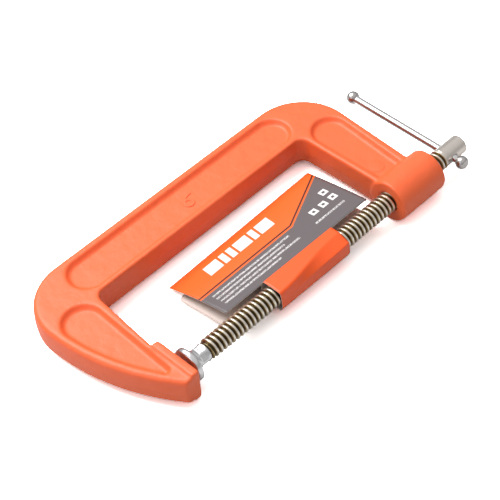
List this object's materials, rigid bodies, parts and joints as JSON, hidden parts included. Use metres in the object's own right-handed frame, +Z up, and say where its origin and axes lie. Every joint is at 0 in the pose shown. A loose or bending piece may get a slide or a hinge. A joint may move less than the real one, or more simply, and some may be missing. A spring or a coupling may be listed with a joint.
{
  "type": "g clamp",
  "caption": "Screw clamp with a cast C-shaped frame, a threaded spindle, a ball-jointed swivel pad and a sliding tommy bar, opening to 150 mm, with a card hang tag.",
  "frame": {"origin": "where the screw axis meets the anvil face, the fixed jaw of the frame", "axes": "+X along the screw from the anvil to the tommy bar, +Y from the screw towards the spine, +Z up out of the side of the clamp as it lies"},
  "size_m": [0.2654, 0.1162, 0.0268],
  "materials": {
    "casting": "powder coat, satin",
    "spindle": "rolled thread, zinc passivated",
    "pad": "zinc plated",
    "bar": "bright plated",
    "card": "printed, semi-gloss"
  },
  "bodies": {
    "frame": {"frame": "casting"},
    "pad_carrier": {"swivel_pad": "pad"},
    "spindle": {"screw": "spindle"},
    "bar": {"tommy_bar": "bar", "end_knob": "bar"},
    "tag": {"hang_tag": "card"}
  },
  "joints": [
    {"name": "screw_travel", "type": "slide", "parent": "frame", "child": "pad_carrier", "axis": [1, 0, 0], "range_m": [-0.00201, 0.14751], "deforming": ["hang_tag"]},
    {"name": "screw_turn", "type": "hinge", "parent": "pad_carrier", "child": "spindle", "pos_m": [0.009, 0, 0], "axis": [1, 0, 0], "range_deg": [-228, 16725.6]},
    {"name": "bar_slide", "type": "slide", "parent": "spindle", "child": "bar", "axis": [0, 1, 0], "range_m": [-0.0615, 0.002]},
    {"name": "tag_swing", "type": "hinge", "parent": "frame", "child": "tag", "pos_m": [0.096, 0, 0], "axis": [1, 0, 0], "range_deg": [0, 150]}
  ],
  "couplings": [
    {"joint": "screw_turn", "follows": "screw_travel", "rad_per_m": 1979}
  ]
}
